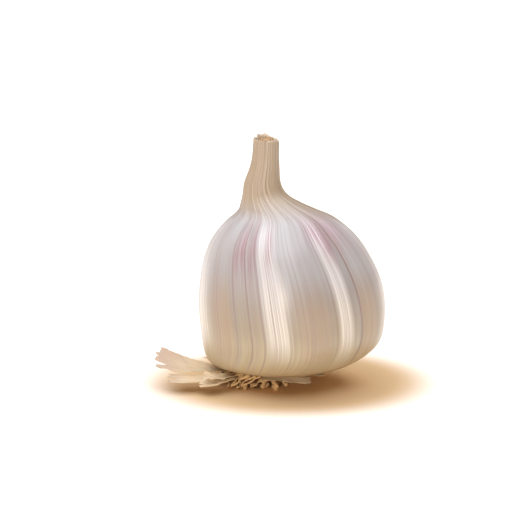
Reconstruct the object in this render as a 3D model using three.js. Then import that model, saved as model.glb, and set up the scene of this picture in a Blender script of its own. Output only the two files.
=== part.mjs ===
// A whole garlic bulb standing on its trimmed roots. The cloves are wrapped in dry white skin that
// closes into a cut neck. Under it sit a corky root plate, the root stubs, and torn strips of the
// outermost skin that still hang from the plate.
// Millimetres, +Z up. The origin is on the surface it stands on, under the middle of the root plate.
// The front faces -Y, and angles are in degrees from the front, growing towards +X.
import * as THREE from "three";
import { mergeVertices } from "three/addons/utils/BufferGeometryUtils.js";

// ---- driving dimensions ----
const GIRTH_RADIUS = 29; // half the bulb's width where it is widest
const DEPTH_SHARE = 0.95; // the bulb is a little shallower front to back than it is wide
const GIRTH_HEIGHT = 24;
const NECK_RADIUS = 3.9;
const NECK_TOP = 78;
const NECK_WALL = 0.8; // the dry sheaths round the neck's hollow end
const NECK_HOLLOW = 2.6; // how deep the cut end is hollow
const CREASE_DEPTH = 0.07; // share of the radius lost in the crease between two cloves
const PLATE_RADIUS = 9.2;
const PLATE_TOP = 5.9;
const PLATE_THICKNESS = 1.7;
const ROOT_COUNT = 44;
const ROOT_RADIUS = 0.45;
const ROOT_DEPTH_SHARE = 0.71; // the root tuft is shallower front to back than it is wide
const SKIN_THICKNESS = 0.45;
const GAP = 0.3; // left between two pieces that touch

// ---- mesh steps ----
const BULB_SEGMENTS = 66;
const BULB_RINGS = 40;
const ROOT_SIDES = 7;
const ROOT_STEPS = 7;

// Where one clove ends and the next begins, in degrees from the front, once round.
const CLOVE_EDGES = [-113, -43, -31, 29, 52, 118, 172, 247];
const FULL_CLOVE_WIDTH = 58; // a clove at least this wide fills the bulb's full radius

const material = (color, roughness) =>
  new THREE.MeshStandardMaterial({ color, roughness, metalness: 0 });
const white_skin = material(0xe9dccb, 0.5);
const neck_fibre = material(0xc59f78, 0.8);
const cork = material(0x8a6848, 0.9);
const root_fibre = material(0xb8936a, 0.8);
const torn_skin = material(0xd8bd97, 0.6);

const group = new THREE.Group();

function addPiece(name, geometry, finish) {
  const mesh = new THREE.Mesh(geometry, finish);
  mesh.name = name;
  group.add(mesh);
}

// One closed surface with shared corners, so that its corners can be moved without opening it.
function weld(geometry) {
  geometry.deleteAttribute("normal");
  geometry.deleteAttribute("uv");
  return mergeVertices(geometry, 1e-4);
}

function moveCorners(geometry, move) {
  const position = geometry.getAttribute("position");
  const corner = new THREE.Vector3();
  for (let i = 0; i < position.count; i++) {
    corner.fromBufferAttribute(position, i);
    position.setXYZ(i, ...move(corner).toArray());
  }
  geometry.computeVertexNormals();
  return geometry;
}

// ---- the bulb's form ----

// Outside of the wrapped bulb from under its base to the cut of its neck: [radius, height].
const outline = new THREE.SplineCurve(
  [
    [0, 6.6],
    [0.3 * GIRTH_RADIUS, 6.3],
    [0.54 * GIRTH_RADIUS, 6.3],
    [0.75 * GIRTH_RADIUS, 7.4],
    [0.875 * GIRTH_RADIUS, 10.2],
    [0.96 * GIRTH_RADIUS, 14.5],
    [GIRTH_RADIUS, GIRTH_HEIGHT],
    [0.98 * GIRTH_RADIUS, 32.0],
    [0.91 * GIRTH_RADIUS, 39.5],
    [0.79 * GIRTH_RADIUS, 46.5],
    [0.6 * GIRTH_RADIUS, 52.2],
    [0.43 * GIRTH_RADIUS, 55.0],
    [0.32 * GIRTH_RADIUS, 57.0],
    [1.72 * NECK_RADIUS, 59.8],
    [1.46 * NECK_RADIUS, 63.0],
    [1.22 * NECK_RADIUS, 67.0],
    [1.05 * NECK_RADIUS, 71.0],
    [NECK_RADIUS, NECK_TOP],
  ].map(([radius, height]) => new THREE.Vector2(radius, height)),
);

// How far the middle of the bulb stands to the right at each height: [height, shift].
// The belly bulges to the right, and the neck stands over the root plate.
const lean = new THREE.SplineCurve(
  [
    [4, 0.8],
    [7, 4.1],
    [12, 6.8],
    [17, 7.8],
    [GIRTH_HEIGHT, 7.8],
    [33, 7.3],
    [41, 6.2],
    [52, 5.0],
    [55, 3.9],
    [57.2, 1.8],
    [59.8, -0.6],
    [63.5, -1.3],
    [70, -0.5],
    [NECK_TOP + 2, 0],
  ].map(([height, shift]) => new THREE.Vector2(height, shift)),
).getSpacedPoints(120);

function leanAt(height) {
  const i = lean.findIndex((point) => point.x >= height);
  if (i <= 0) return i === 0 ? lean[0].y : lean.at(-1).y;
  const [before, after] = [lean[i - 1], lean[i]];
  return THREE.MathUtils.mapLinear(height, before.x, after.x, before.y, after.y);
}

// 0 on the crest of a clove and 1 in the crease beside it.
function creaseAt(degrees) {
  const turned = THREE.MathUtils.euclideanModulo(degrees - CLOVE_EDGES[0], 360) + CLOVE_EDGES[0];
  const i = CLOVE_EDGES.findLastIndex((edge) => edge <= turned);
  const width = CLOVE_EDGES[i + 1] - CLOVE_EDGES[i];
  const across = (turned - CLOVE_EDGES[i]) / width;
  const fullness = Math.min(1, width / FULL_CLOVE_WIDTH);
  return 1 - fullness * Math.hypot(Math.sin(Math.PI * across), 0.15 * Math.cos(Math.PI * across));
}

// The creases fade out under the base and go up the neck only as faint flutes.
function creaseFade(height) {
  const { smoothstep } = THREE.MathUtils;
  return smoothstep(height, 5, 15) * (1 - 0.75 * smoothstep(height, 52, 62));
}

// The neck is cut nearly level: its left and back stand a little higher.
function cutSlant(x, y, height) {
  return (-0.1 * x + 0.1 * y) * THREE.MathUtils.smoothstep(height, 70, NECK_TOP);
}

function bulbPoint(radius, angle, height) {
  const degrees = THREE.MathUtils.radToDeg(angle);
  const swollen = radius * (1 - CREASE_DEPTH * creaseAt(degrees) * creaseFade(height));
  const x = swollen * Math.sin(angle);
  const y = -swollen * Math.cos(angle) * DEPTH_SHARE;
  return new THREE.Vector3(x + leanAt(height), y, height + cutSlant(x, y, height));
}

// Turns a profile of [radius, height] points round the bulb's leaning, fluted middle line.
function turned(profile, segments) {
  const lathe = weld(new THREE.LatheGeometry(profile, segments));
  return moveCorners(lathe, (corner) => {
    const angle = Math.atan2(corner.x, corner.z);
    return bulbPoint(Math.hypot(corner.x, corner.z), angle, corner.y);
  });
}

function makeBulb() {
  const hollowRadius = NECK_RADIUS - NECK_WALL;
  const profile = [
    ...outline.getSpacedPoints(BULB_RINGS),
    new THREE.Vector2(hollowRadius, NECK_TOP - 0.1),
    new THREE.Vector2(hollowRadius - 0.1, NECK_TOP - NECK_HOLLOW),
    new THREE.Vector2(0, NECK_TOP - NECK_HOLLOW),
  ];
  profile[0].x = 0;
  addPiece("bulb", turned(profile, BULB_SEGMENTS), white_skin);
}

// The dried inner leaves and stalk that show in the cut end of the neck.
function makeNeckCore() {
  const foot = NECK_TOP - NECK_HOLLOW + GAP;
  const radius = NECK_RADIUS - NECK_WALL - 0.1 - GAP;
  const profile = [
    [0, foot],
    [0.85 * radius, foot],
    [radius, foot + 0.5],
    [radius, NECK_TOP - 0.9],
    [0.7 * radius, NECK_TOP - 0.6],
    [0, NECK_TOP - 1.0],
  ].map(([r, height]) => new THREE.Vector2(r, height));
  addPiece("neck_core", turned(profile, 24), neck_fibre);
}

// ---- root plate and roots ----

function makeRootPlate() {
  const foot = PLATE_TOP - PLATE_THICKNESS;
  const profile = [
    [0, foot],
    [0.8 * PLATE_RADIUS, foot],
    [PLATE_RADIUS, foot + 0.45 * PLATE_THICKNESS],
    [0.93 * PLATE_RADIUS, PLATE_TOP - 0.2],
    [0, PLATE_TOP],
  ].map(([radius, height]) => new THREE.Vector2(radius, height));
  const lathe = weld(new THREE.LatheGeometry(profile, 28));
  const plate = moveCorners(lathe, ({ x, y, z }) => {
    const knobbly = 1 + 0.03 * Math.sin(5 * Math.atan2(x, z)) * Math.min(1, Math.hypot(x, z));
    return new THREE.Vector3(knobbly * x, -knobbly * z, y);
  });
  addPiece("root_plate", plate, cork);
}

// Roots grow from all over the plate's underside, as seeds sit in a sunflower. Those near the rim
// splay outwards and sweep to the left, and all are trimmed where they meet the surface.
function makeRoots() {
  const GOLDEN_ANGLE = THREE.MathUtils.degToRad(137.508);
  const start = PLATE_TOP - PLATE_THICKNESS - GAP;
  const section = new THREE.Shape(
    Array.from({ length: ROOT_SIDES }, (_, side) => {
      const angle = (2 * Math.PI * side) / ROOT_SIDES;
      return new THREE.Vector2(ROOT_RADIUS * Math.cos(angle), ROOT_RADIUS * Math.sin(angle));
    }),
  );
  for (let k = 0; k < ROOT_COUNT; k++) {
    const outwards = (k / ROOT_COUNT) ** 0.44;
    const angle = k * GOLDEN_ANGLE;
    const splay = 3.4 * outwards ** 3;
    const sweep = 2.2 * outwards ** 2;
    const curl = 0.12 * outwards * (1 + Math.sin(2.3 * k));
    const tipHeight = k % 3 === 1 ? 0.75 : 0.3;
    const rootPoint = (reach, turn, height) => {
      const radius = (PLATE_RADIUS - 1.1) * outwards + reach * splay;
      const at = angle + turn * curl;
      const y = -ROOT_DEPTH_SHARE * radius * Math.cos(at);
      return new THREE.Vector3(radius * Math.sin(at) - reach * sweep, y, height);
    };
    const path = new THREE.CatmullRomCurve3([
      rootPoint(0, 0, start),
      rootPoint(0.2, 0.1, 0.72 * start + 0.2 * tipHeight),
      rootPoint(0.62, 0.55, 0.4 * start + 0.5 * tipHeight),
      rootPoint(1, 1, tipHeight * outwards - 0.4 * (1 - outwards)),
    ]);
    const root = weld(
      new THREE.ExtrudeGeometry(section, { steps: ROOT_STEPS, extrudePath: path }),
    );
    const trimmed = moveCorners(root, ({ x, y, z }) => {
      return new THREE.Vector3(x, y, THREE.MathUtils.clamp(z, 0, start));
    });
    addPiece(`root_${String(k + 1).padStart(2, "0")}`, trimmed, root_fibre);
  }
}

// ---- torn strips of outer skin ----

// Each strip follows a line of points from the root plate outwards. It is tilted about that line,
// in degrees from its plate end to its tip, and cupped upwards across its width.
const SKIN_STRIPS = {
  peeled_skin_left: {
    line: [
      [-9.8, -2.4, 4.9],
      [-14, -3.3, 5.1],
      [-19.1, -3.8, 6.1],
      [-24, -4.0, 7.5],
      [-29, -4.0, 9.0],
      [-35.4, -3.8, 10.9],
    ],
    width: 9.6,
    tilt: [0, -22],
    cup: 0.5,
    steps: [14, 6],
  },
  low_skin_left: {
    line: [
      [-9.8, -4.4, 3.7],
      [-16, -5.6, 4.1],
      [-24, -6.4, 4.4],
      [-31, -6.6, 4.9],
    ],
    width: 4.8,
    tilt: [0, -16],
    cup: 0.3,
    steps: [10, 4],
  },
  crumpled_skin_left: {
    line: [
      [-8.6, -7.4, 4.8],
      [-12.2, -10.2, 5.1],
      [-16, -11.6, 5.5],
      [-19.9, -11.8, 5.8],
    ],
    width: 3.8,
    tilt: [-6, -26],
    cup: 0.4,
    steps: [9, 4],
  },
  skin_shard_front: {
    line: [
      [-8.8, -10.2, 3.7],
      [-12, -11.8, 3.9],
      [-17, -12.4, 3.7],
      [-21, -12.4, 3.4],
    ],
    width: 4.2,
    tilt: [-6, -16],
    cup: 0.3,
    steps: [8, 4],
  },
  skin_fringe_right: {
    line: [
      [-1.5, -10.6, 4.8],
      [4.4, -11.0, 4.7],
      [9.8, -10.7, 4.3],
      [14.2, -9.8, 3.9],
    ],
    width: 2.4,
    tilt: [14, 30],
    cup: 0.2,
    steps: [10, 4],
  },
  skin_scrap_right: {
    line: [
      [9.8, -3.6, 4.8],
      [14.0, -5.0, 4.6],
      [18.4, -5.6, 4.9],
    ],
    width: 3.6,
    tilt: [0, 10],
    cup: 0.25,
    steps: [6, 4],
  },
  skin_scrap_back_left: {
    line: [
      [-6.8, 7.6, 4.8],
      [-11.4, 11.0, 4.3],
      [-15.8, 13.4, 4.1],
      [-20.2, 14.8, 4.6],
    ],
    width: 6.4,
    tilt: [0, 5],
    cup: 0.35,
    steps: [8, 4],
  },
  skin_scrap_back_right: {
    line: [
      [5.8, 8.4, 4.8],
      [9.6, 12.0, 4.4],
      [14.6, 14.8, 4.3],
    ],
    width: 5,
    tilt: [0, -6],
    cup: 0.3,
    steps: [6, 4],
  },
};

function makeSkinStrip(name, { line, width, tilt, cup, steps }) {
  const spine = new THREE.CatmullRomCurve3(line.map((point) => new THREE.Vector3(...point)));
  const flat = weld(new THREE.BoxGeometry(1, 1, 1, steps[0], steps[1], 1));
  const strip = moveCorners(flat, (corner) => {
    const along = THREE.MathUtils.clamp(corner.x + 0.5, 0, 1);
    const across = 2 * corner.y;
    const tangent = spine.getTangentAt(along);
    const turn = THREE.MathUtils.degToRad(THREE.MathUtils.lerp(tilt[0], tilt[1], along));
    const side = new THREE.Vector3(0, 0, 1).cross(tangent).normalize();
    side.applyAxisAngle(tangent, turn);
    const up = tangent.clone().cross(side);
    const halfWidth = 0.5 * width * (0.5 + 0.5 * Math.sin(Math.PI * (0.12 + 0.7 * along)));
    return spine
      .getPointAt(along)
      .addScaledVector(side, across * halfWidth)
      .addScaledVector(up, cup * across ** 2 + SKIN_THICKNESS * corner.z);
  });
  addPiece(name, strip, torn_skin);
}

makeBulb();
makeNeckCore();
makeRootPlate();
makeRoots();
for (const [name, strip] of Object.entries(SKIN_STRIPS)) makeSkinStrip(name, strip);

export default group;
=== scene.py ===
# %% [markdown]
# # A garlic bulb on its trimmed roots
# A bulb of garlic is a ring of cloves wrapped together in dry papery skin. The skin gathers at the top
# into a neck, which is cut, and at the bottom the cloves sit on a corky plate with the roots under it.
# Here it is built piece by piece around a plain solid model that fixes every place and size.

# %% Load the solid model
import math

import bpy
import numpy as np
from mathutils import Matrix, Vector


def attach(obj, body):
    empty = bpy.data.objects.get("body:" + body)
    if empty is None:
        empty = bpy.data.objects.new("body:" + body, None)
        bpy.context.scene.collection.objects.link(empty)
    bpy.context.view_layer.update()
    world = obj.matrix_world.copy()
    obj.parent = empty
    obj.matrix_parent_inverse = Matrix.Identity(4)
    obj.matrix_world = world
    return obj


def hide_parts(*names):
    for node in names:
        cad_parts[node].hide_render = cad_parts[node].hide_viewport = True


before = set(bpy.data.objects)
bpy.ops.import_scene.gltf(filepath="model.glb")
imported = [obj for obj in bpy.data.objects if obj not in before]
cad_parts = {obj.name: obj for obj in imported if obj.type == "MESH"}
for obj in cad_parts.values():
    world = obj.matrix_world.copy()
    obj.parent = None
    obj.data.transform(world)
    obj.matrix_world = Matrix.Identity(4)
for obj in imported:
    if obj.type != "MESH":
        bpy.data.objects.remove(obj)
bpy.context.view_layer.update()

# %% [markdown]
# ## Units and smooth lines
# Blender works in metres, and a garlic bulb is easier to think about in millimetres. So the sizes are
# written in millimetres and multiplied by MM. Several forms follow a smooth line through a few points.
# Blender's curves could hold such a line, but a small function gives the points straight to the mesh.

# %% Millimetres and smooth lines
MM = 0.001
TURN = 2 * math.pi


def smooth_line(points, count):
    """Points at equal steps along a smooth line that passes through the given points."""
    given = np.array(points, float)
    padded = np.vstack([2 * given[0] - given[1], given, 2 * given[-1] - given[-2]])
    fine = []
    for i in range(1, len(padded) - 2):
        before, start, end, after = padded[i - 1 : i + 3]
        for t in np.linspace(0, 1, 40, endpoint=False):
            fine.append(
                start
                + 0.5 * t * (end - before)
                + t**2 * (before - 2.5 * start + 2 * end - 0.5 * after)
                + t**3 * (-0.5 * before + 1.5 * start - 1.5 * end + 0.5 * after)
            )
    fine = np.array([*fine, given[-1]])
    walked = np.concatenate([[0], np.cumsum(np.linalg.norm(np.diff(fine, axis=0), axis=1))])
    steps = np.linspace(0, walked[-1], count)
    return np.stack([np.interp(steps, walked, fine[:, k]) for k in range(given.shape[1])], axis=1)


def smoothstep(value, low, high):
    """0 below low, 1 above high, and an even S between them."""
    t = np.clip((value - low) / (high - low), 0, 1)
    return t * t * (3 - 2 * t)


def wander(x, seed, waves=6):
    """A wavy line through zero that never repeats itself soon, the same for the same seed."""
    chance = np.random.default_rng(seed)
    total = np.zeros_like(np.asarray(x, float))
    for k in range(waves):
        total += np.sin(1.7**k * x + chance.uniform(0, TURN)) / 1.5**k
    return total / 2.4


def walk_line(line, along, steps):
    """The place and the direction at each share of the way along a smooth line."""
    spine = smooth_line(line, steps)
    exact = along * (steps - 1)
    index = np.clip(exact.astype(int), 0, steps - 2)
    share = (exact - index)[:, None]
    middle = spine[index] * (1 - share) + spine[index + 1] * share
    ahead = spine[index + 1] - spine[np.maximum(index - 1, 0)]
    return middle, ahead / np.linalg.norm(ahead, axis=1)[:, None]


print("sizes are in millimetres, and 1 mm is", MM, "in the scene")


# %% [markdown]
# ## The bulb's form
# The bulb is nearly a turned shape, so it starts as an outline of radius and height. Three things make
# it grown and not turned. Its middle line leans: the belly bulges to the right, and the neck stands over
# the roots. The cloves swell between creases that run from the neck to the root plate. And the skin has
# ribs, pleats and a torn rim. Each is a small function here, because the skin and its markings share them.

# %% Sizes of the bulb
GIRTH_RADIUS = 29
DEPTH_SHARE = 0.95  # the bulb is a little shallower front to back than it is wide
BASE_DEPTH_LOSS = 0.11  # and shallower still at its base, by this share
NECK_RADIUS = 3.9
NECK_TOP = 76.7
NECK_WALL = 0.8
# Where one clove ends and the next begins, in degrees from the front, once round.
CLOVE_EDGES = np.array([-113, -43, -31, 29, 52, 118, 172, 247])
CREASE_DEPTH = 0.115  # share of the radius lost in the crease between two cloves
FULL_CLOVE_WIDTH = 58  # a clove at least this wide fills the bulb's full radius

# The outside of the wrapped bulb, from under its base to the cut of its neck: radius, height.
BULB_OUTLINE = [
    (0.02 * GIRTH_RADIUS, 6.6),
    (0.3 * GIRTH_RADIUS, 6.3),
    (0.54 * GIRTH_RADIUS, 6.3),
    (0.75 * GIRTH_RADIUS, 7.4),
    (0.875 * GIRTH_RADIUS, 10.2),
    (0.96 * GIRTH_RADIUS, 14.5),
    (GIRTH_RADIUS, 24),
    (0.98 * GIRTH_RADIUS, 32.0),
    (0.91 * GIRTH_RADIUS, 39.5),
    (0.79 * GIRTH_RADIUS, 46.5),
    (0.6 * GIRTH_RADIUS, 52.2),
    (0.43 * GIRTH_RADIUS, 55.0),
    (0.335 * GIRTH_RADIUS, 57.0),
    (1.72 * NECK_RADIUS, 59.8),
    (1.46 * NECK_RADIUS, 63.0),
    (1.22 * NECK_RADIUS, 67.0),
    (1.05 * NECK_RADIUS, 71.0),
    (NECK_RADIUS, NECK_TOP),
]
# How far the middle stands to the right at each height: height, shift.
LEAN = smooth_line(
    [
        (4, 0.8),
        (7, 4.1),
        (12, 6.8),
        (17, 7.8),
        (24, 7.8),
        (33, 7.3),
        (41, 6.2),
        (52, 5.0),
        (55, 3.5),
        (57.2, 1.4),
        (59.8, -0.5),
        (63.5, -1.3),
        (70, -0.5),
        (80, 0),
    ],
    200,
)
print("the bulb is", 2 * GIRTH_RADIUS, "mm wide, and its neck is cut at", NECK_TOP, "mm")


# %% Lean, cloves, ribs and the slanted cut
def lean_at(height):
    """How far right of the roots the bulb's middle stands at a height."""
    return np.interp(height, LEAN[:, 0], LEAN[:, 1])


def along_cloves(degrees, height):
    """The direction round the bulb, straightened so that a crease keeps one value all the way up."""
    return degrees - 2.2 * np.sin(height / 9) + 5 * smoothstep(height, 38, 52)


def crease_at(degrees, height):
    """0 on a clove's crest and 1 in the crease beside it."""
    turned = np.mod(along_cloves(degrees, height) - CLOVE_EDGES[0], 360) + CLOVE_EDGES[0]
    i = np.searchsorted(CLOVE_EDGES, turned, side="right") - 1
    i = np.clip(i, 0, len(CLOVE_EDGES) - 2)
    width = CLOVE_EDGES[i + 1] - CLOVE_EDGES[i]
    across = (turned - CLOVE_EDGES[i]) / width
    fullness = np.minimum(1, width / FULL_CLOVE_WIDTH)
    rounded = 1 - np.hypot(np.sin(np.pi * across), 0.13 * np.cos(np.pi * across))
    ridged = (np.hypot(2 * across - 1, 0.2) - 0.2) / 0.82
    return 1 - fullness * (1 - 0.5 * (rounded + ridged))


def crease_fade(height):
    """The creases fade out under the base, and go up the neck only as faint flutes."""
    return smoothstep(height, 5, 14) * (1 - 0.72 * smoothstep(height, 51, 61))


def skin_relief(angle, height):
    """Fine ribs all over, pleats where the skin gathers, and stiff fibres up the neck, in mm."""
    ribs = 0.055 * wander(26 * angle, 3, waves=4) * smoothstep(height, 8, 16)
    pleat_zone = smoothstep(height, 48, 55) * (1 - smoothstep(height, 59, 68))
    pleats = 0.16 * wander(19 * angle, 11, waves=4) * pleat_zone
    fibres = 0.09 * wander(30 * angle, 17, waves=4) * smoothstep(height, 58, 64)
    lumps = 0.25 * wander(2 * angle + 0.07 * height, 21, waves=3) * smoothstep(height, 10, 20)
    return ribs * (1 - 0.6 * pleat_zone) + pleats + fibres + lumps * (1 - smoothstep(height, 55, 62))


def cut_slant(x, y, angle, height):
    """The neck is cut nearly level and its rim is ragged."""
    near_cut = smoothstep(height, 70, NECK_TOP)
    ragged = 0.35 * wander(angle * 3, 29, waves=7) * smoothstep(height, NECK_TOP - 2, NECK_TOP)
    return (-0.1 * x + 0.1 * y) * near_cut + ragged


def place_on_bulb(radius, angle, height):
    """Where a point of the turned shape goes on the grown one. Angle 0 is the front."""
    crease = crease_at(np.degrees(angle), height) * crease_fade(height)
    swollen = radius * (1 - CREASE_DEPTH * crease) + skin_relief(angle, height)
    x = swollen * np.sin(angle)
    depth = DEPTH_SHARE * (1 - BASE_DEPTH_LOSS * (1 - smoothstep(height, 7, 20)))
    y = -swollen * np.cos(angle) * depth
    return np.stack([x + lean_at(height), y, height + cut_slant(x, y, angle, height)], axis=-1)


print("30 mm up, the bulb's middle stands", round(float(lean_at(30)), 1), "mm to the right")


# %% [markdown]
# ## Modelling helpers
# Most pieces are drawn out of one ring of edges: extrude it, move it, scale it, and repeat. A spin of a
# profile would do the same, but with rings each step can have its own size. Every helper deselects first,
# because an operator works on everything that is selected.


# %% Rings, finishing and vertex moves
def begin_ring(name, radius, height, sides):
    """Adds a closed disc at the origin and selects its rim, ready to extrude."""
    bpy.ops.object.select_all(action="DESELECT")
    bpy.ops.mesh.primitive_circle_add(vertices=sides, radius=radius, fill_type="TRIFAN")
    piece = bpy.context.object
    piece.name = name
    bpy.ops.object.mode_set(mode="EDIT")
    bpy.ops.mesh.select_all(action="SELECT")
    bpy.ops.transform.translate(value=(0, 0, height))
    bpy.ops.mesh.select_mode(type="EDGE")
    bpy.ops.mesh.select_all(action="DESELECT")
    bpy.ops.mesh.select_non_manifold()
    return piece


def draw_out(rings):
    """Extrudes the selected rim through a list of [radius, height] and closes the last ring."""
    for (old_radius, old_height), (radius, height) in zip(rings[:-1], rings[1:]):
        bpy.ops.mesh.extrude_edges_move(
            TRANSFORM_OT_translate={"value": (0, 0, height - old_height)}
        )
        change = radius / old_radius
        bpy.ops.transform.resize(value=(change, change, 1), center_override=(0, 0, 0))
    bpy.ops.mesh.merge(type="CENTER")


def close_up():
    """Leaves edit mode with every face turned outwards."""
    bpy.ops.mesh.select_mode(type="VERT")
    bpy.ops.mesh.select_all(action="SELECT")
    bpy.ops.mesh.normals_make_consistent(inside=False)
    bpy.ops.object.mode_set(mode="OBJECT")


def apply_modifier(piece, kind, **settings):
    """Adds a modifier to the piece and applies it at once."""
    bpy.ops.object.select_all(action="DESELECT")
    piece.select_set(True)
    bpy.context.view_layer.objects.active = piece
    bpy.ops.object.modifier_add(type=kind)
    modifier = piece.modifiers[-1]
    for key, value in settings.items():
        setattr(modifier, key, value)
    bpy.ops.object.modifier_apply(modifier=modifier.name)


def corners_of(piece):
    """The piece's corners as an array of places."""
    places = np.empty(3 * len(piece.data.vertices))
    piece.data.vertices.foreach_get("co", places)
    return places.reshape(-1, 3)


def move_corners(piece, places):
    """Puts the piece's corners at these places."""
    piece.data.vertices.foreach_set("co", np.ascontiguousarray(places, dtype=np.float32).ravel())
    piece.data.update()


def note(piece, name, values):
    """Keeps one number or one vector at each corner, for the materials to read."""
    values = np.asarray(values, np.float32)
    kind, field = ("FLOAT", "value") if values.ndim == 1 else ("FLOAT_VECTOR", "vector")
    layer = piece.data.attributes.new(name, kind, "POINT")
    layer.data.foreach_set(field, np.ascontiguousarray(values).ravel())


def finish_piece(piece, material, slot, *nodes):
    """Smooths, paints and mounts a finished piece in place of its plain solids."""
    bpy.ops.object.select_all(action="DESELECT")
    piece.select_set(True)
    bpy.context.view_layer.objects.active = piece
    bpy.ops.object.shade_smooth()
    piece.data.materials.clear()
    piece.data.materials.append(material)
    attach(piece, "root")
    if nodes:
        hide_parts(*nodes)


# %% [markdown]
# ## Material helpers
# Everything on garlic runs lengthwise: veins, fibres, streaks of colour. A picture of them would stretch
# and show a seam. Instead each corner keeps its own grain: where it is round the piece, as two numbers on
# a circle, and how far along it is. A noise texture on those three numbers, with the circle enlarged,
# comes out as long streaks that meet all the way round.


# %% Node helpers
def new_material(name):
    """A new material, with its node tree and its shader."""
    material = bpy.data.materials.new(name)
    material.use_nodes = True
    tree = material.node_tree
    return material, tree, tree.nodes["Principled BSDF"]


def connect(tree, value, socket):
    """Sets the socket to a number or colour, or links it to another socket."""
    if isinstance(value, bpy.types.NodeSocket):
        tree.links.new(value, socket)
    else:
        socket.default_value = value


def read_note(tree, name):
    """The numbers kept at the corners under this name."""
    reader = tree.nodes.new("ShaderNodeAttribute")
    reader.attribute_name = name
    return reader


def stretched(tree, vector, scale):
    """A vector enlarged by a different amount on each axis."""
    scaling = tree.nodes.new("ShaderNodeVectorMath")
    scaling.operation = "MULTIPLY"
    connect(tree, vector, scaling.inputs[0])
    scaling.inputs[1].default_value = scale
    return scaling.outputs[0]


def noise(tree, vector, scale=1.0, detail=3.0, roughness=0.55):
    """Cloudy noise from 0 to 1."""
    texture = tree.nodes.new("ShaderNodeTexNoise")
    connect(tree, vector, texture.inputs["Vector"])
    texture.inputs["Scale"].default_value = scale
    texture.inputs["Detail"].default_value = detail
    texture.inputs["Roughness"].default_value = roughness
    return texture.outputs["Fac"]


def ranged(tree, value, low, high, to_low=0.0, to_high=1.0):
    """The value as it goes from low to high, made to go from to_low to to_high and no further."""
    mapping = tree.nodes.new("ShaderNodeMapRange")
    mapping.interpolation_type = "SMOOTHSTEP"
    connect(tree, value, mapping.inputs["Value"])
    mapping.inputs["From Min"].default_value = low
    mapping.inputs["From Max"].default_value = high
    mapping.inputs["To Min"].default_value = to_low
    mapping.inputs["To Max"].default_value = to_high
    return mapping.outputs["Result"]


def sums(tree, operation, first, second=0.0):
    """One arithmetic step on two values."""
    math_node = tree.nodes.new("ShaderNodeMath")
    math_node.operation = operation
    connect(tree, first, math_node.inputs[0])
    connect(tree, second, math_node.inputs[1])
    return math_node.outputs[0]


def blend_colors(tree, share, first, second, way="MIX"):
    """The first colour where the share is 0, and the second laid over it where the share is 1."""
    mixer = tree.nodes.new("ShaderNodeMix")
    mixer.data_type = "RGBA"
    mixer.blend_type = way
    connect(tree, share, mixer.inputs[0])
    for value, socket in ((first, mixer.inputs[6]), (second, mixer.inputs[7])):
        connect(tree, (*value, 1.0) if isinstance(value, tuple) else value, socket)
    return mixer.outputs[2]


def thin_lines(tree, value, middle, width):
    """1 on the thin lines where a noise passes through a middle value, and 0 away from them."""
    away = sums(tree, "ABSOLUTE", sums(tree, "SUBTRACT", value, middle))
    return ranged(tree, away, 0.0, width, 1.0, 0.0)


def add_bump(tree, shader, height, distance, strength):
    """Fine relief that the shader shows without moving any corner."""
    bump = tree.nodes.new("ShaderNodeBump")
    bump.inputs["Distance"].default_value = distance
    bump.inputs["Strength"].default_value = strength
    connect(tree, height, bump.inputs["Height"])
    tree.links.new(bump.outputs["Normal"], shader.inputs["Normal"])


# %% [markdown]
# ## Papery skin
# Garlic skin is a few layers of dry white leaf base. It is a cool, faintly rosy white where it is thick,
# warmer and tan towards the roots, and straw-coloured up the neck, where the leaves were green. Fine dark
# veins run lengthwise, with a stronger one in each crease. It shines a little, like satin paper. Light and
# shade are painted into the colour too: highlights on the crests, and shade on the flanks, the right
# shoulder and a belt round the lower half.

# %% The skin's finish
COOL_WHITE = (0.40, 0.388, 0.395)
WARM_WHITE = (0.46, 0.395, 0.265)
# Painted highlights along the clove crests: a warmer white low down and a cooler one higher up.
HIGHLIGHT_WARM_WHITE = (0.80, 0.755, 0.69)
HIGHLIGHT_COOL_WHITE = (0.69, 0.675, 0.68)
# Painted shade: a tan for the clove flanks and the right shoulder, which are turned from the light.
PAINTED_SHADE_TAN = (0.42, 0.295, 0.19)
BASE_TAN = (0.41, 0.295, 0.135)
ROOT_BROWN = (0.30, 0.19, 0.085)
STRAW = (0.49, 0.385, 0.27)
STRAW_DARK = (0.30, 0.23, 0.155)
VEIN_MAUVE = (0.27, 0.185, 0.17)
ROSE = (0.34, 0.19, 0.22)
# Painted shade for a belt round the lower half, between the light from above and the light from the floor.
PAINTED_BELT_SHADE = (0.79, 0.735, 0.69)

# How dark the line in each crease is.
CREASE_MARKS = {-113: 0.6, -43: 0.55, -31: 0.8, 29: 0.35, 52: 1.0, 118: 0.7, 172: 0.6}
print("the skin has marks in", len(CREASE_MARKS), "creases")

# %% Streaks and veins
garlic_skin, tree, shader = new_material("garlic_skin")
grain = read_note(tree, "grain").outputs["Vector"]
height_mm = read_note(tree, "height_mm").outputs["Fac"]
blushed = read_note(tree, "blushed").outputs["Fac"]
pale_and_highlight = read_note(tree, "pale_and_highlight").outputs["Fac"]
painted_shade = read_note(tree, "painted_shade").outputs["Fac"]

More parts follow.
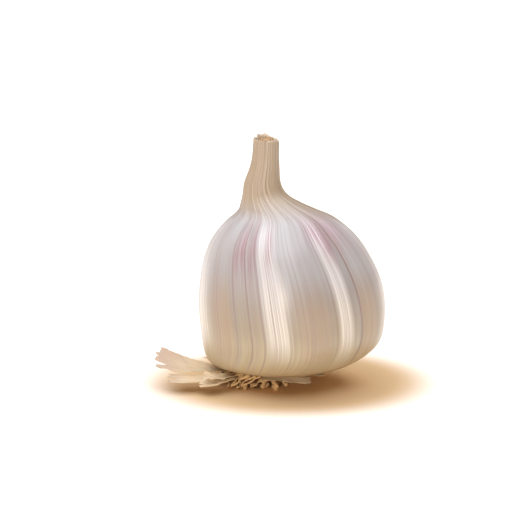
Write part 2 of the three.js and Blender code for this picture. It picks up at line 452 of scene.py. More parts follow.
coarse_streaks = noise(tree, stretched(tree, grain, (10, 10, 0.3)), detail=2)
fine_streaks = noise(tree, stretched(tree, grain, (60, 60, 0.4)), detail=4, roughness=0.65)
vein_noise = noise(tree, stretched(tree, grain, (11, 11, 0.1)), detail=0)
veins = thin_lines(tree, vein_noise, 0.5, 0.03)
veins = sums(tree, "MAXIMUM", veins, thin_lines(tree, vein_noise, 0.38, 0.028))
veins = sums(tree, "MAXIMUM", veins, thin_lines(tree, vein_noise, 0.62, 0.028))
hair_noise = noise(tree, stretched(tree, grain, (30, 30, 0.14)), detail=0)
hair_veins = thin_lines(tree, hair_noise, 0.5, 0.07)
hair_veins = sums(tree, "MAXIMUM", hair_veins, thin_lines(tree, hair_noise, 0.66, 0.06))
print("streaks and veins take", len(tree.nodes), "nodes")


# %% Lines in the creases
def line_in_crease(degrees, darkness):
    """A thin line that keeps to one direction of the grain, with its darkness."""
    turn = math.radians(degrees)
    beside = tree.nodes.new("ShaderNodeVectorMath")
    beside.operation = "DOT_PRODUCT"
    tree.links.new(grain, beside.inputs[0])
    beside.inputs[1].default_value = (-math.sin(turn), math.cos(turn), 0)
    toward = tree.nodes.new("ShaderNodeVectorMath")
    toward.operation = "DOT_PRODUCT"
    tree.links.new(grain, toward.inputs[0])
    toward.inputs[1].default_value = (math.cos(turn), math.sin(turn), 0)
    away = sums(tree, "ABSOLUTE", beside.outputs["Value"])
    line = ranged(tree, away, 0.005, 0.02, darkness, 0)
    return sums(tree, "MULTIPLY", line, sums(tree, "GREATER_THAN", toward.outputs["Value"], 0.0))


crease_lines = 0.0
for degrees, darkness in CREASE_MARKS.items():
    crease_lines = sums(tree, "MAXIMUM", crease_lines, line_in_crease(degrees, darkness))
crease_lines = sums(tree, "MULTIPLY", crease_lines, ranged(tree, height_mm, 6, 13))
crease_lines = sums(tree, "MULTIPLY", crease_lines, ranged(tree, height_mm, 50, 57, 1, 0))
print("with the lines in the creases, the skin has", len(tree.nodes), "nodes")


# %% Skin colour from the roots to the neck
def streaked_height(streaks, reach):
    """The height with its level shifted up and down from streak to streak."""
    return sums(tree, "ADD", height_mm, sums(tree, "MULTIPLY", streaks, reach))


# White that warms downwards, then tan, then brown at the root plate.
skin_colour = blend_colors(
    tree, ranged(tree, streaked_height(coarse_streaks, 14), 22, 46, 1, 0), COOL_WHITE, WARM_WHITE
)
skin_colour = blend_colors(
    tree, ranged(tree, streaked_height(fine_streaks, 6), 8, 18, 0.85, 0), skin_colour, BASE_TAN
)
skin_colour = blend_colors(
    tree, ranged(tree, streaked_height(fine_streaks, 2), 7.2, 10, 0.75, 0), skin_colour, ROOT_BROWN
)
# Painted shade round the lower half, painted highlights on crests, painted shade on flanks, rosy
# shoulders.
painted_belt_shade = sums(tree, "MULTIPLY", ranged(tree, height_mm, 14, 24), ranged(tree, height_mm, 27, 42, 1, 0))
skin_colour = blend_colors(tree, painted_belt_shade, skin_colour, PAINTED_BELT_SHADE, way="MULTIPLY")
# Painted highlights: the crests are lightened where the light catches them.
highlight_share = sums(tree, "MULTIPLY", pale_and_highlight, ranged(tree, fine_streaks, 0.34, 0.62, 0.9, 0.5))
highlight_colour = blend_colors(tree, ranged(tree, height_mm, 24, 42), HIGHLIGHT_WARM_WHITE, HIGHLIGHT_COOL_WHITE)
skin_colour = blend_colors(tree, highlight_share, skin_colour, highlight_colour)
# Painted shade on the clove flanks and the right shoulder, turned from the light.
painted_shade_share = sums(tree, "MULTIPLY", painted_shade, ranged(tree, fine_streaks, 0.36, 0.62, 0.25, 0.65))
skin_colour = blend_colors(tree, painted_shade_share, skin_colour, PAINTED_SHADE_TAN)
blush_share = sums(tree, "MULTIPLY", blushed, ranged(tree, fine_streaks, 0.42, 0.56, 0.12, 1.0))
skin_colour = blend_colors(tree, blush_share, skin_colour, ROSE)
# Straw up the neck, then streaks and veins over everything.
straw_colour = blend_colors(tree, ranged(tree, fine_streaks, 0.4, 0.62), STRAW, STRAW_DARK)
skin_colour = blend_colors(
    tree, ranged(tree, streaked_height(fine_streaks, 6), 54.5, 63, 0, 1), skin_colour, straw_colour
)
shade_streaks = ranged(tree, fine_streaks, 0.3, 0.7, 1.04, 0.89)
streak_grey = tree.nodes.new("ShaderNodeCombineColor")
for channel in range(3):
    tree.links.new(shade_streaks, streak_grey.inputs[channel])
skin_colour = blend_colors(tree, 1.0, skin_colour, streak_grey.outputs[0], way="MULTIPLY")
vein_share = sums(tree, "MULTIPLY", veins, ranged(tree, coarse_streaks, 0.35, 0.6, 0.22, 0.6))
vein_share = sums(tree, "MAXIMUM", vein_share, sums(tree, "MULTIPLY", hair_veins, 0.16))
vein_share = sums(tree, "MAXIMUM", vein_share, crease_lines)
skin_colour = blend_colors(tree, vein_share, skin_colour, VEIN_MAUVE)
tree.links.new(skin_colour, shader.inputs["Base Color"])
print("with its colours, the skin has", len(tree.nodes), "nodes")

# %% Satin gloss and fine relief
tree.links.new(ranged(tree, fine_streaks, 0.3, 0.7, 0.38, 0.55), shader.inputs["Roughness"])
shader.inputs["Coat Weight"].default_value = 0.8
shader.inputs["Coat Roughness"].default_value = 0.31
shader.inputs["Subsurface Weight"].default_value = 0.1
shader.inputs["Subsurface Radius"].default_value = (1.0, 0.7, 0.5)
shader.inputs["Subsurface Scale"].default_value = 1.5 * MM
relief = sums(tree, "SUBTRACT", fine_streaks, sums(tree, "MULTIPLY", veins, 0.5))
add_bump(tree, shader, relief, 0.15 * MM, 0.35)
print("garlic skin has", len(tree.nodes), "nodes")

# %% [markdown]
# ## The wrapped bulb
# The bulb could be sculpted, but sculpting by hand doesn't give the same bulb twice. So a ring is drawn
# out along the outline, smoothed by subdivision, and then each corner is moved by the bulb's form
# functions. The top ring goes back down inside the neck, so that the cut end is a real hollow.

# %% Draw out and shape the bulb
BULB_SIDES = 96
BULB_RINGS = 46

outline = smooth_line(BULB_OUTLINE, BULB_RINGS)
inner_radius = NECK_RADIUS - NECK_WALL
hollow = [
    (NECK_RADIUS - 0.25, NECK_TOP + 0.1),
    (inner_radius, NECK_TOP - 0.1),
    (inner_radius - 0.1, NECK_TOP - 1.4),
    (inner_radius - 0.2, NECK_TOP - 2.7),
]
rings = [(radius * MM, height * MM) for radius, height in [*outline, *hollow]]
bulb = begin_ring("garlic_bulb", rings[0][0], rings[0][1], BULB_SIDES)
draw_out(rings)
close_up()
apply_modifier(bulb, "SUBSURF", levels=2, render_levels=2)

turned = corners_of(bulb) / MM
bulb_radius = np.hypot(turned[:, 0], turned[:, 1])
bulb_angle = np.arctan2(turned[:, 0], -turned[:, 1])
bulb_height = turned[:, 2]
move_corners(bulb, place_on_bulb(bulb_radius, bulb_angle, bulb_height) * MM)
print("the bulb has", len(bulb.data.polygons), "faces")


# %% Note the bulb's grain, creases and blushes
def steps_along(radius, height, line):
    """How far along the outline each corner is, in outline lengths."""
    fine = smooth_line(line, 400)
    walked = np.concatenate([[0], np.cumsum(np.linalg.norm(np.diff(fine, axis=0), axis=1))])
    along = np.empty(len(radius))
    for first in range(0, len(radius), 4000):
        part = slice(first, first + 4000)
        gap = (radius[part, None] - fine[:, 0]) ** 2 + (height[part, None] - fine[:, 1]) ** 2
        along[part] = walked[gap.argmin(axis=1)]
    return along / GIRTH_RADIUS


# Each blush is a middle in degrees and mm up, then a half width in degrees and a half height in mm.
BLUSHES = [
    (50, 51, 15, 5),
    (36, 49, 5, 6),
    (24, 51, 8, 4),
    (-40, 46, 6, 8),
    (-27, 47, 4, 9),
    (-14, 48, 3, 6),
    (140, 47, 22, 7),
    (215, 46, 18, 8),
]


def blush_at(degrees, height):
    """Rosy patches on the shoulders, strongest in their middles."""
    rosy = np.zeros_like(height)
    for middle, at_height, half_width, half_height in BLUSHES:
        off = np.mod(degrees - middle + 180, 360) - 180
        rosy += np.exp(-((off / half_width) ** 2) - ((height - at_height) / half_height) ** 2)
    return np.clip(rosy, 0, 1)


def bands_at(degrees, height, bands):
    """1 along each band and 0 beside it. A band is its direction and its half width, in degrees."""
    total = np.zeros_like(degrees)
    for middle, half_width in bands.items():
        off = np.abs(np.mod(along_cloves(degrees, height) - middle + 180, 360) - 180)
        total = np.maximum(total, 1 - smoothstep(off, 0.4 * half_width, 1.3 * half_width))
    return total


# The direction of each band and its half width, in degrees from the front.
# The crest bands are painted highlights, where the light catches the crests.
PAINTED_CREST_HIGHLIGHTS = {-78: 15, -11: 8, 36: 5, 86: 13, 146: 11, 208: 16}
# The flank bands and the right shoulder are painted shade, on the sides turned from the light.
PAINTED_FLANK_SHADE = {-54: 9, 14: 13, 60: 8, 108: 7, 163: 7, 236: 9}
PAINTED_SHOULDER_SHADE = 84
PAINTED_SHOULDER_SHADE_WIDTH = 30

bulb_degrees = np.degrees(bulb_angle)
pale_and_highlight = bands_at(bulb_degrees, bulb_height, PAINTED_CREST_HIGHLIGHTS)
pale_and_highlight *= smoothstep(bulb_height, 11, 22) * (1 - smoothstep(bulb_height, 50, 56))
painted_shade = bands_at(bulb_degrees, bulb_height, PAINTED_FLANK_SHADE)
painted_shade *= smoothstep(bulb_height, 9, 16) * (1 - smoothstep(bulb_height, 27, 42))
shoulder_shade = 0.9 * np.exp(-(((bulb_degrees - PAINTED_SHOULDER_SHADE) / PAINTED_SHOULDER_SHADE_WIDTH) ** 2))
painted_shade = np.maximum(painted_shade, shoulder_shade * smoothstep(bulb_height, 50, 54.5))
grain_angle = np.radians(along_cloves(bulb_degrees, bulb_height))
bulb_along = steps_along(bulb_radius, bulb_height, BULB_OUTLINE)
note(bulb, "grain", np.stack([np.cos(grain_angle), np.sin(grain_angle), bulb_along], axis=1))
note(bulb, "height_mm", bulb_height)
note(bulb, "blushed", blush_at(bulb_degrees, bulb_height))
note(bulb, "pale_and_highlight", pale_and_highlight)
note(bulb, "painted_shade", painted_shade)
finish_piece(bulb, garlic_skin, "white_skin", "bulb")
# The pale crests counted here are painted highlights, and the tan flanks are painted shade.
print("blushes:", len(BLUSHES), "pale crests:", len(PAINTED_CREST_HIGHLIGHTS), "tan flanks:", len(PAINTED_FLANK_SHADE))

# %% [markdown]
# ## The cut neck
# Looking into the cut, there are the dried leaf sheaths, one inside the other, round a shrivelled stalk.
# Nested tubes with ragged rims show that better than one plug with rings painted on it.

# %% Dry straw finish
dry_straw, tree, shader = new_material("dry_straw")
grain = read_note(tree, "grain").outputs["Vector"]
fibres = noise(tree, stretched(tree, grain, (14, 14, 1.2)), detail=4, roughness=0.7)
blotches = noise(tree, stretched(tree, grain, (2.5, 2.5, 3)), detail=2)
straw = blend_colors(tree, ranged(tree, fibres, 0.35, 0.65), (0.74, 0.55, 0.35), (0.44, 0.27, 0.15))
straw = blend_colors(tree, ranged(tree, blotches, 0.45, 0.7, 0, 0.6), straw, (0.45, 0.27, 0.14))
papery = read_note(tree, "pale_and_highlight").outputs["Fac"]
straw = blend_colors(tree, papery, straw, (0.84, 0.77, 0.66))
tree.links.new(straw, shader.inputs["Base Color"])
shader.inputs["Roughness"].default_value = 0.75
add_bump(tree, shader, fibres, 0.3 * MM, 0.8)
print("dry straw has", len(tree.nodes), "nodes")


# %% Nested sheaths and the stalk
def roll_sheath(name, radius, foot, top, wall, seed, scrap=0):
    """One rolled leaf sheath, ragged at the rim. A scrap of it may be left standing at the back left."""
    line = [
        (0.4 * radius, foot),
        (radius, foot + 0.3),
        (radius, 0.5 * (foot + top)),
        (radius, top - 0.3),
        (radius - 0.5 * wall, top),
        (radius - wall, top - 0.3),
        (radius - wall, foot + 0.9),
        (0.3 * radius, foot + 0.8),
    ]
    line = [(r * MM, h * MM) for r, h in line]
    sheath = begin_ring(name, line[0][0], line[0][1], 40)
    draw_out(line)
    close_up()
    apply_modifier(sheath, "SUBSURF", levels=1, render_levels=1)
    places = corners_of(sheath) / MM
    angle = np.arctan2(places[:, 0], -places[:, 1])
    reach = np.hypot(places[:, 0], places[:, 1])
    reach = reach * (1 + 0.07 * wander(2 * angle, seed) + 0.02 * np.sin(19 * angle))
    height = places[:, 2]
    near_rim = smoothstep(height, top - 1.2, top)
    x = reach * np.sin(angle)
    y = -reach * np.cos(angle)
    from_scrap = np.mod(np.degrees(angle) + 145 + 180, 360) - 180
    standing = scrap * np.exp(-((from_scrap / 55) ** 4)) + 0.4 * wander(3 * angle, seed + 1)
    raised = height + near_rim * standing + cut_slant(x, y, angle, NECK_TOP)
    move_corners(sheath, np.stack([x + lean_at(height), y, raised], axis=1) * MM)
    note(sheath, "grain", np.stack([np.cos(angle), np.sin(angle), height / 4], axis=1))
    note(sheath, "pale_and_highlight", near_rim * min(1, scrap))
    return sheath


SHEATHS = [
    ("neck_sheath_outer", 2.9, 74.3, 76.7, 0.16, 1.5),
    ("neck_sheath_middle", 2.35, 74.4, 77.1, 0.24, 0),
    ("neck_sheath_inner", 1.7, 74.4, 77.2, 0.26, 0),
]
for seed, (name, radius, foot, top, wall, scrap) in enumerate(SHEATHS):
    sheath = roll_sheath(name, radius, foot, top, wall, 40 + 3 * seed, scrap)
    finish_piece(sheath, dry_straw, "neck_fibre", "neck_core")
stalk = roll_sheath("neck_stalk", 1.0, 74.5, 77.0, 0.5, 60)
finish_piece(stalk, dry_straw, "neck_fibre", "neck_core")
print("the neck holds", len(SHEATHS), "sheaths and a stalk")

# %% [markdown]
# ## The root plate
# The plate is a hard corky disc, knobbly where each root leaves it. A disc drawn out in rings and then
# roughened is enough, because only its rim shows between the roots.

# %% Cork finish
cork, tree, shader = new_material("cork")
places = tree.nodes.new("ShaderNodeTexCoord").outputs["Object"]
crumbs = noise(tree, places, scale=1400, detail=5, roughness=0.7)
patches = noise(tree, places, scale=350, detail=2)
brown = blend_colors(tree, ranged(tree, crumbs, 0.35, 0.65), (0.07, 0.028, 0.01), (0.20, 0.11, 0.045))
brown = blend_colors(tree, ranged(tree, patches, 0.45, 0.7, 0, 0.4), brown, (0.50, 0.36, 0.21))
tree.links.new(brown, shader.inputs["Base Color"])
shader.inputs["Roughness"].default_value = 0.9
shader.inputs["Specular IOR Level"].default_value = 0.12
add_bump(tree, shader, crumbs, 0.5 * MM, 0.9)
print("cork has", len(tree.nodes), "nodes")

# %% Draw out the root plate
PLATE_RADIUS = 9.2
PLATE_TOP = 6.4
PLATE_FOOT = 4.2

plate_rings = [
    (1, PLATE_FOOT),
    (4, PLATE_FOOT - 0.05),
    (7, PLATE_FOOT),
    (8.6, 4.5),
    (PLATE_RADIUS, 5.1),
    (9.0, 5.8),
    (8.0, 6.3),
    (5, PLATE_TOP),
    (2, PLATE_TOP),
]
plate_rings = [(r * MM, h * MM) for r, h in plate_rings]
plate = begin_ring("root_plate_cork", plate_rings[0][0], plate_rings[0][1], 48)
draw_out(plate_rings)
close_up()
apply_modifier(plate, "SUBSURF", levels=2, render_levels=2)
places = corners_of(plate) / MM
angle = np.arctan2(places[:, 0], -places[:, 1])
reach = np.hypot(places[:, 0], places[:, 1])
knobs = 0.28 * wander(9 * angle + reach, 71) + 0.15 * wander(31 * angle, 72)
places[:, 2] += 0.25 * np.sin(2.6 * places[:, 0] + 1) * np.sin(2.9 * places[:, 1]) * (places[:, 2] < 5)
grown = (reach + knobs * smoothstep(reach, 2, 7)) / np.maximum(reach, 1e-6)
places[:, :2] *= grown[:, None]
move_corners(plate, places * MM)
finish_piece(plate, cork, "cork", "root_plate")
print("the root plate has", len(plate.data.polygons), "faces")

# %% [markdown]
# ## Roots
# The roots were trimmed, so each is a curly stub with a cut end. They grow from all over the plate, as
# seeds sit in a sunflower, and the outer ones splay. One straight stub is modelled, and each root is a
# copy of it with its own mesh, bent along its own line and given its own thickness. A lighter stub, with
# few faces, makes the thin hairs between the roots. Nobody looks at one hair alone, so they are joined.

# %% Dry root finish
dry_root, tree, shader = new_material("dry_root")
grain = read_note(tree, "grain").outputs["Vector"]
fibres = noise(tree, stretched(tree, grain, (3, 3, 1.5)), detail=5, roughness=0.7)
dark_tone_and_shade = read_note(tree, "dark_tone_and_shade").outputs["Fac"]
beige = blend_colors(tree, ranged(tree, fibres, 0.35, 0.65), (0.98, 0.72, 0.40), (0.72, 0.46, 0.21))
# Roots and hairs are darkened partly as their own dark tone, and partly as painted shade under the plate.
beige = blend_colors(tree, dark_tone_and_shade, beige, (0.075, 0.02, 0.005))
tree.links.new(beige, shader.inputs["Base Color"])
shader.inputs["Roughness"].default_value = 0.8
shader.inputs["Specular IOR Level"].default_value = 0.12
add_bump(tree, shader, fibres, 0.25 * MM, 0.8)
print("dry root has", len(tree.nodes), "nodes")

# %% Model a root stub and a hair stub
def model_stub(name, sides, steps, tip):
    """A straight stub, 1 tall and 1 in radius, that the bending gives its size."""
    stub = begin_ring(name, 0.6, 0, sides)
    draw_out([(0.6, 0), (1.0, 0.01)] + [(1.0, step / steps) for step in range(1, steps)] + tip)
    close_up()
    print(name, "has", len(stub.data.polygons), "faces")
    return stub


root_stub = model_stub("root_stub", 10, 16, [(1.08, 0.985), (0.95, 1.0), (0.5, 0.985)])
hair_stub = model_stub("hair_stub", 5, 7, [(0.8, 1.0)])


# %% Bend stubs along root lines
STUB_SPINE_STEPS = 60
ACROSS_ROOTS = (0.9, 0.43, 0.1)  # one fixed direction that the sides of every root are measured from


def copy_piece(source, name):
    """A copy with its own mesh."""
    twin = source.copy()
    twin.data = source.data.copy()
    twin.name = name
    bpy.context.scene.collection.objects.link(twin)
    return twin


def bend_stub(straight, name, line, thickness, seed):
    """A copy of a straight stub along a line of points, a little uneven in thickness."""
    root = copy_piece(straight, name)
    stub = corners_of(root)
    middle, ahead = walk_line(line, np.clip(stub[:, 2], 0, 1), STUB_SPINE_STEPS)
    side = np.cross(ahead, ACROSS_ROOTS)
    side /= np.linalg.norm(side, axis=1)[:, None]
    other = np.cross(ahead, side)
    girth = thickness * (1 + 0.16 * wander(9 * stub[:, 2], seed))
    flare = 1 + 0.35 * (1 - smoothstep(stub[:, 2], 0, 0.22)) + 0.12 * smoothstep(stub[:, 2], 0.85, 1)
    places = middle + (stub[:, :1] * side + stub[:, 1:2] * other) * (girth * flare)[:, None]
    places[:, 2] = np.maximum(places[:, 2], 0)
    move_corners(root, places * MM)
    note(root, "grain", np.stack([stub[:, 0], stub[:, 1], 4 * stub[:, 2]], axis=1))
    return root


# %% Grow the roots
ROOT_COUNT = 44
ROOT_RADIUS = 0.6
ROOT_DEPTH_SHARE = 0.71  # the tuft is shallower front to back than it is wide
ROOT_SPLAY = 3.4
ROOT_SWEEP = 2.2  # how far the outermost roots lean to the left
ROOT_CURL = 0.12
PLATE_RIM = 1.1  # the rim of the plate that bears no roots
ROOT_SEED = 80
GOLDEN_ANGLE = math.radians(137.508)

chance = np.random.default_rng(8)
for k in range(ROOT_COUNT):
    outwards = (k / ROOT_COUNT) ** 0.44
    around = k * GOLDEN_ANGLE
    splay = ROOT_SPLAY * outwards**3
    sweep = ROOT_SWEEP * outwards**2
    curl = ROOT_CURL * outwards * (1 + math.sin(2.3 * k))
    tip_height = (0.75 if k % 3 == 1 else 0.3) * outwards

    def root_point(reach, turn, height, wobble):
        """A point of this root, at a share of its reach and of its curl."""
        radius = (PLATE_RADIUS - PLATE_RIM) * outwards + reach * splay
        at = around + turn * curl
        x, y = wobble * outwards * chance.normal(size=2)
        x += radius * math.sin(at) - reach * sweep
        return x, y - ROOT_DEPTH_SHARE * radius * math.cos(at), height

    line = [
        root_point(0, 0, PLATE_FOOT + 0.3, 0),
        root_point(0.15, 0.1, 3.4, 0.5),
        root_point(0.35, 0.3, 2.5, 0.8),
        root_point(0.65, 0.55, 1.6, 0.8),
        root_point(0.95, 0.9, 0.9, 0.6),
        root_point(1.15, 1, tip_height + 0.3 * outwards, 0.4),
    ]
    thickness = ROOT_RADIUS * chance.uniform(0.75, 1.15)
    root = bend_stub(root_stub, f"dry_root_{k + 1:02d}", line, thickness, ROOT_SEED + k)
    # Roots near the middle of the plate are painted dark as shade under the bulb; the small random part is
    # their own tone.
    shade = chance.uniform(0, 0.15) + 0.7 * (1 - smoothstep(outwards, 0.6, 0.85))
    note(root, "dark_tone_and_shade", np.full(len(root.data.vertices), shade))
    finish_piece(root, dry_root, "root_fibre", f"root_{k + 1:02d}")
print("grew", ROOT_COUNT, "roots")

# %% Fine hairs between the roots
HAIR_COUNT = 240
HAIR_SWEEP = 6.2
HAIR_MIDDLE = math.radians(-30)  # the hairs are densest at the front left
HAIR_SPREAD = 1.4
HAIR_POINTS = 6
HAIR_SEED = 200
# A share of the hairs is dark at random, as their own tone; every hair under the plate is painted dark as
# shade.
DARK_SHARE = 0.3  # this share of the hairs, and every hair under the plate, is dark
DARK_SHADE = 0.8

hairs = []
for k in range(HAIR_COUNT):
    around = HAIR_MIDDLE + chance.normal(scale=HAIR_SPREAD)
    start_radius = PLATE_RADIUS * chance.uniform(0.35, 0.98)
    end_radius = start_radius + chance.uniform(-0.6, 3.0)
    swing = chance.normal(scale=0.22)
    drop = chance.uniform(0.2, 2.6)
    line = []
    for t in np.linspace(0, 1, HAIR_POINTS):
        radius = start_radius + (end_radius - start_radius) * t + 0.45 * chance.normal() * t
        at = around + swing * t + 0.06 * chance.normal() * t
        x = radius * math.sin(at) - HAIR_SWEEP * t
        depth_share = 1 - (1 - ROOT_DEPTH_SHARE) * min(1, 3 * t)
        y = -depth_share * radius * math.cos(at)
        line.append((x, y, (PLATE_FOOT + 0.5) * (1 - t) + drop * t**1.5))
    hair = bend_stub(hair_stub, f"hair_{k}", line, chance.uniform(0.22, 0.52), HAIR_SEED + k)
    shade = chance.uniform(0, 0.2)
    if chance.uniform() < DARK_SHARE or end_radius < PLATE_RADIUS:
        shade += DARK_SHADE
    note(hair, "dark_tone_and_shade", np.full(len(hair.data.vertices), shade))
    hairs.append(hair)
bpy.ops.object.select_all(action="DESELECT")
for hair in hairs:
    hair.select_set(True)
bpy.context.view_layer.objects.active = hairs[0]
bpy.ops.object.join()
hairs[0].name = "root_hairs"
finish_piece(hairs[0], dry_root, "root_fibre")
bpy.data.objects.remove(root_stub)
bpy.data.objects.remove(hair_stub)
print("grew", HAIR_COUNT, "hairs")

# %% [markdown]
# ## Torn outer skin
# The outermost skin has split off and hangs from the root plate in brittle strips. Each strip is a fine
# grid laid along a line, with a torn edge, a curl and small crumples, and then given a thickness. Cloth
# simulation would make it soft, and this skin is stiff and cracked, so moving the corners suits it.

# %% Torn skin's finish
torn_paper, tree, shader = new_material("torn_paper")
grain = read_note(tree, "grain").outputs["Vector"]
fibres = noise(tree, stretched(tree, grain, (0.8, 18, 1)), detail=4, roughness=0.6)
blotches = noise(tree, stretched(tree, grain, (2.4, 3.5, 1)), detail=3)
along = tree.nodes.new("ShaderNodeSeparateXYZ")
tree.links.new(grain, along.inputs[0])
paper = blend_colors(tree, ranged(tree, fibres, 0.3, 0.7), (0.69, 0.555, 0.38), (0.56, 0.43, 0.265))
paper = blend_colors(tree, ranged(tree, blotches, 0.5, 0.75, 0, 0.3), paper, (0.50, 0.36, 0.20))
paper = blend_colors(tree, ranged(tree, along.outputs[0], 0.0, 0.8, 0.5, 0), paper, (0.52, 0.39, 0.20))
paper = blend_colors(tree, ranged(tree, along.outputs[0], 1.1, 2.4, 0, 0.75), paper, (0.43, 0.33, 0.26))
tree.links.new(paper, shader.inputs["Base Color"])
tree.links.new(ranged(tree, fibres, 0.3, 0.7, 0.45, 0.65), shader.inputs["Roughness"])
shader.inputs["Specular IOR Level"].default_value = 0.3
shader.inputs["Subsurface Weight"].default_value = 0.15
shader.inputs["Subsurface Scale"].default_value = 0.8 * MM
add_bump(tree, shader, fibres, 0.2 * MM, 0.7)
print("torn paper has", len(tree.nodes), "nodes")

# %% Lines of the strips
STRIPS = {
    "peeled_skin_left": dict(
        line=[
            (-9.8, -2.4, 4.9),
            (-14, -3.3, 5.2),
            (-19.1, -3.8, 5.8),
            (-24, -4.0, 6.6),
            (-29, -4.0, 7.8),
            (-35.4, -3.8, 9.8),
        ],
        width=9.4,
        tilt=(0, -26),
        cup=0.5,
        seed=1,
        narrow=0.5,
        notch=0.13,
        gap_at=0.5,
    ),
    "low_skin_left": dict(
        line=[(-9.8, -5.4, 3.7), (-16, -8.2, 3.9), (-24, -9.8, 4.2), (-31, -10.2, 4.6)],
        width=3.6,
        tilt=(-10, -34),
        cup=0.2,
        seed=2,
        notch=0.12,
    ),
    "crumpled_skin_left": dict(
        line=[(-10.2, -8.4, 4.9), (-12.8, -10.3, 5.1), (-16, -11.6, 5.5), (-19.9, -11.8, 5.8)],
        width=4.0,
        tilt=(-6, -26),
        cup=0.4,
        seed=3,
        notch=0.2,
        crumpled=4.5,
        frayed=3.0,
    ),
    "skin_shard_front": dict(
        line=[(-9.8, -10.2, 4.4), (-13, -11.6, 4.2), (-17, -12.3, 3.8), (-21, -12.4, 3.4)],
        width=4.2,
        tilt=(-6, -20),
        cup=0.15,
        seed=4,
        notch=0.1,
        narrow=0.3,
    ),
    "skin_fringe_right": dict(
        line=[(-1.5, -10.6, 4.8), (4.4, -11.0, 4.7), (9.8, -10.7, 4.3), (14.2, -9.8, 3.9)],
        width=2.9,
        tilt=(18, 34),
        cup=0.1,
        seed=5,
        notch=0.1,
        frayed=3.5,
    ),
    "skin_scrap_right": dict(
        line=[(9.8, -3.6, 4.8), (14.0, -5.0, 4.6), (18.4, -5.6, 4.9)],
        width=3.8,
        tilt=(0, 10),
        cup=0.2,
        seed=6,
        notch=0.1,
    ),
    "skin_scrap_back_left": dict(
        line=[(-6.8, 7.6, 4.8), (-11.4, 11.0, 4.3), (-15.8, 13.4, 4.1), (-20.2, 14.8, 4.6)],
        width=6.6,
        tilt=(0, 5),
        cup=0.3,
        seed=7,
        notch=0.2,
    ),
    "skin_scrap_back_right": dict(
        line=[(5.8, 8.4, 4.8), (9.6, 12.0, 4.4), (14.6, 14.8, 4.3)],
        width=5.2,
        tilt=(0, -6),
        cup=0.25,
        seed=8,
        notch=0.2,
    ),
}
print("widest strip:", max(strip["width"] for strip in STRIPS.values()), "mm")


# %% Lay and tear the strips
STRIP_SPINE_STEPS = 200
STRIP_THICKNESS = 0.16 * MM


def lay_strip(
    name, line, width, tilt, cup, seed, notch, gap_at=0.1, narrow=0.68, crumpled=1.0, frayed=1.0
):
    """A torn strip of skin along a line of points from the root plate to its tip."""
    bpy.ops.object.select_all(action="DESELECT")
    bpy.ops.mesh.primitive_grid_add(x_subdivisions=90, y_subdivisions=30, size=1)
    strip = bpy.context.object
    strip.name = name + "_torn"
    flat = corners_of(strip)
    across = 2 * flat[:, 1]
    along = flat[:, 0] + 0.5
    gap = notch * np.exp(-(((across - gap_at) / 0.17) ** 2))
    tear = 0.04 * wander(11 * across, seed, waves=5) + gap
    along = along * (1 - smoothstep(along, 0.45, 1) * np.clip(tear + 0.04 * across**2 + 0.04, 0, 0.6))
    ragged = 1 + 0.07 * frayed * wander(24 * along, seed + 20, waves=6) * np.abs(across) ** 3
    length = np.linalg.norm(np.diff(smooth_line(line, 60), axis=0), axis=1).sum()
    middle, ahead = walk_line(line, along, STRIP_SPINE_STEPS)
    level = np.cross((0, 0, 1), ahead)
    level /= np.linalg.norm(level, axis=1)[:, None]
    above = np.cross(ahead, level)
    turn = np.radians(tilt[0] + (tilt[1] - tilt[0]) * along)[:, None]
    side = level * np.cos(turn) + above * np.sin(turn)
    up = np.cross(ahead, side)
    half_width = 0.5 * width * (narrow + (1 - narrow) * smoothstep(along, 0.15, 0.7)) * ragged
    crumple = 0.13 * crumpled * wander(0.5 * length * along + 2 * across, seed + 30, waves=4)
    crumple *= smoothstep(along, 0.1, 0.5)
    ridges = 0.035 * wander(12 * across, seed + 40, waves=3)
    edge_curl = 0.22 * smoothstep(np.abs(across), 0.7, 1) * wander(8 * along, seed + 50)
    lift = cup * across**2 + crumple + ridges + edge_curl
    places = middle + side * (across * half_width)[:, None] + up * lift[:, None]
    move_corners(strip, places * MM)
    apply_modifier(strip, "SOLIDIFY", thickness=STRIP_THICKNESS, offset=0)
    repeats = len(strip.data.vertices) // len(flat)
    lengthwise = np.tile(along * length / 10, repeats + 1)[: len(strip.data.vertices)]
    crosswise = np.tile(across * width / 10, repeats + 1)[: len(strip.data.vertices)]
    note(strip, "grain", np.stack([lengthwise, crosswise, np.full(len(lengthwise), seed)], axis=1))
    return strip


for name, form in STRIPS.items():
    strip = lay_strip(name, **form)
    finish_piece(strip, torn_paper, "torn_skin", name)
print("laid", len(STRIPS), "torn strips")

# %% [markdown]
# ## Floor, light and camera
# The bulb stands on a pale floor with a tan shadow painted round its foot. Light reaches it from a wide
# opening overhead, so its shadow is short and soft. A narrow lamp gives hard-edged shadows, which it
# hasn't got.
# Two small lamps low in front pick out the curls of the roots, and a weak one brightens the left side.

# %% Floor
bpy.ops.object.select_all(action="DESELECT")
bpy.ops.mesh.primitive_plane_add(size=30)
floor = bpy.context.object
floor.name = "pale_floor"
pale_floor, tree, shader = new_material("pale_floor")
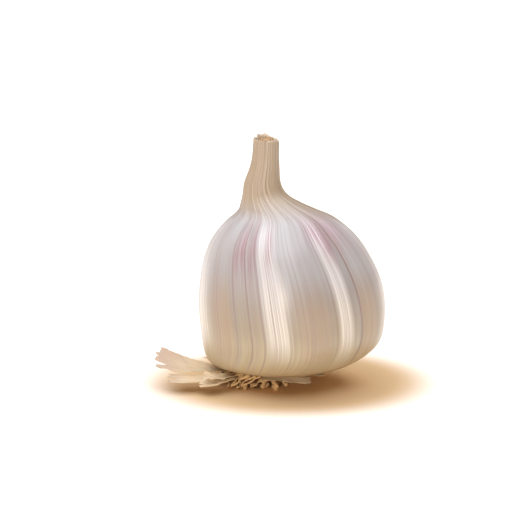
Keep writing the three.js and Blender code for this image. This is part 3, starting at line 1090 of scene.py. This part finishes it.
# A painted shadow: tan near the bulb's foot, a darker tan ring round it, then the pale floor outside.
from_bulb = tree.nodes.new("ShaderNodeMapping")
from_bulb.vector_type = "TEXTURE"
from_bulb.inputs["Location"].default_value = (7 * MM, 3 * MM, 0)
from_bulb.inputs["Scale"].default_value = (41 * MM, 33 * MM, 1)
tree.links.new(tree.nodes.new("ShaderNodeTexCoord").outputs["Object"], from_bulb.inputs["Vector"])
distance = tree.nodes.new("ShaderNodeVectorMath")
distance.operation = "LENGTH"
tree.links.new(from_bulb.outputs[0], distance.inputs[0])
outside = ranged(tree, distance.outputs["Value"], 0.8, 1.25)
painted_floor_shadow = blend_colors(
    tree, ranged(tree, distance.outputs["Value"], 0.3, 0.8), (0.95, 0.64, 0.34), (0.62, 0.43, 0.24)
)
floor_colour = blend_colors(tree, outside, painted_floor_shadow, (0.95, 0.88, 0.80))
tree.links.new(floor_colour, shader.inputs["Base Color"])
shader.inputs["Roughness"].default_value = 0.9
shader.inputs["Specular IOR Level"].default_value = 0.1
floor.data.materials.append(pale_floor)
print("the floor has", len(tree.nodes), "nodes")

# %% Room light
world = bpy.data.worlds.new("warm_room")
bpy.context.scene.world = world
world.use_nodes = True
tree = world.node_tree
tree.nodes.clear()
direction = tree.nodes.new("ShaderNodeTexCoord").outputs["Generated"]
split = tree.nodes.new("ShaderNodeSeparateXYZ")
tree.links.new(direction, split.inputs[0])
upwards = ranged(tree, split.outputs["Z"], 0.0, 0.5)
room_colour = blend_colors(tree, upwards, (0.27, 0.14, 0.055), (0.22, 0.14, 0.07))
room = tree.nodes.new("ShaderNodeBackground")
tree.links.new(room_colour, room.inputs["Color"])
seen = tree.nodes.new("ShaderNodeBackground")
seen.inputs["Color"].default_value = (1, 1, 1, 1)
chooser = tree.nodes.new("ShaderNodeMixShader")
tree.links.new(tree.nodes.new("ShaderNodeLightPath").outputs["Is Camera Ray"], chooser.inputs[0])
tree.links.new(room.outputs[0], chooser.inputs[1])
tree.links.new(seen.outputs[0], chooser.inputs[2])
output = tree.nodes.new("ShaderNodeOutputWorld")
tree.links.new(chooser.outputs[0], output.inputs["Surface"])
print("the room light has", len(tree.nodes), "nodes")


# %% Lamps
def hang_lamp(name, toward, spread, power, colour):
    """A broad even light from a direction, with its spread in degrees."""
    bpy.ops.object.light_add(type="SUN", location=toward)
    lamp = bpy.context.object
    lamp.name = name
    lamp.rotation_euler = Vector(toward).to_track_quat("Z", "Y").to_euler()
    lamp.data.angle = math.radians(spread)
    lamp.data.energy = power
    lamp.data.color = colour
    print(name, "spreads over", spread, "degrees")


hang_lamp("overhead_light", (-0.06, -0.05, 0.99), 92, 4.35, (0.90, 0.96, 1.05))
hang_lamp("left_window", (-0.88, 0.30, 0.36), 30, 0.3, (1.0, 0.99, 0.98))
hang_lamp("front_window", (-0.10, -0.94, 0.32), 14, 0.2, (1.0, 0.98, 0.95))
hang_lamp("low_front_light", (-0.25, -0.96, 0.12), 16, 0.95, (1.0, 0.90, 0.78))

# %% Camera
CAMERA_LENS = 100
CAMERA_DISTANCE = 446 * MM
CAMERA_ELEVATION = math.radians(12)
AIM_RIGHT = -3.3 * MM
AIM_UP = 39.8 * MM

bpy.ops.object.camera_add()
camera = bpy.context.object
camera.data.lens = CAMERA_LENS
camera.data.clip_start = 0.01
rise, run = math.sin(CAMERA_ELEVATION), math.cos(CAMERA_ELEVATION)
camera.location = (
    AIM_RIGHT,
    AIM_UP * rise - CAMERA_DISTANCE * run,
    AIM_UP * run + CAMERA_DISTANCE * rise,
)
camera.rotation_euler = (math.pi / 2 - CAMERA_ELEVATION, 0, 0)
bpy.context.scene.camera = camera
bpy.context.scene.view_settings.view_transform = "Standard"
print("the camera stands", round(CAMERA_DISTANCE / MM), "mm away, with a lens of", CAMERA_LENS, "mm")
